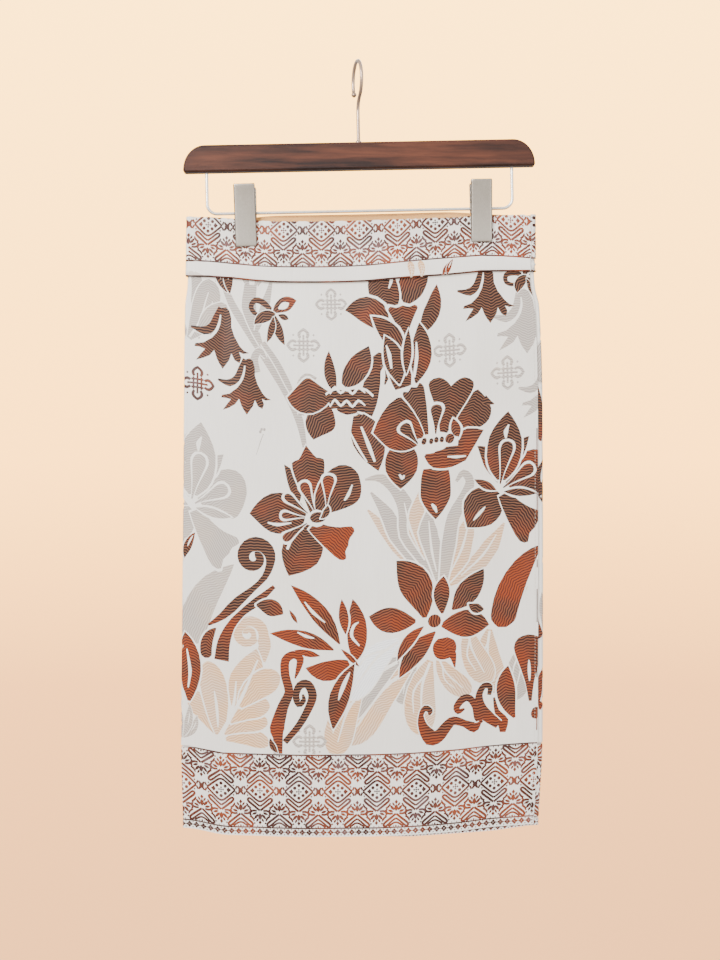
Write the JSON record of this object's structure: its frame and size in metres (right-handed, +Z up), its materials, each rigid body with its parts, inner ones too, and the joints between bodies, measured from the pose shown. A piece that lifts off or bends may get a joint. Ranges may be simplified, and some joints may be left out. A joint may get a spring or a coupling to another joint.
{
  "type": "instant samping on a skirt hanger",
  "caption": "Pre-wrapped flat tube skirt of patterned satin with a tucked waist band and bordered hem, held by sprung clips under a wooden hanger with a wire hook.",
  "frame": {"origin": "inside top of the hook, where a rail bears", "axes": "+Z up, +X to the right of someone facing the front, front towards -Y"},
  "size_m": [0.3704, 0.0424, 0.7932],
  "materials": {
    "body_satin": "off-white satin with woven copper, silver-grey and peach flowers and leaves, soft sheen",
    "band_satin": "off-white satin with a woven copper and mauve-brown lozenge border",
    "facing": "plain tan weave, matte",
    "walnut": "dark red-brown wood with a satin lacquer",
    "nickel": "polished nickel wire",
    "brushed_nickel": "satin brushed nickel sheet"
  },
  "bodies": {
    "root": {"waist_front": "band_satin", "waist_back": "band_satin", "back_facing": "facing", "front_body": "body_satin", "under_wrap": "body_satin", "back_body": "body_satin", "hook": "nickel", "hanger_bar": "walnut", "hanger_wire": "nickel", "clip_left_front": "brushed_nickel", "clip_left_back": "brushed_nickel", "clip_left_spring": "nickel", "clip_right_front": "brushed_nickel", "clip_right_back": "brushed_nickel", "clip_right_spring": "nickel"}
  },
  "joints": []
}
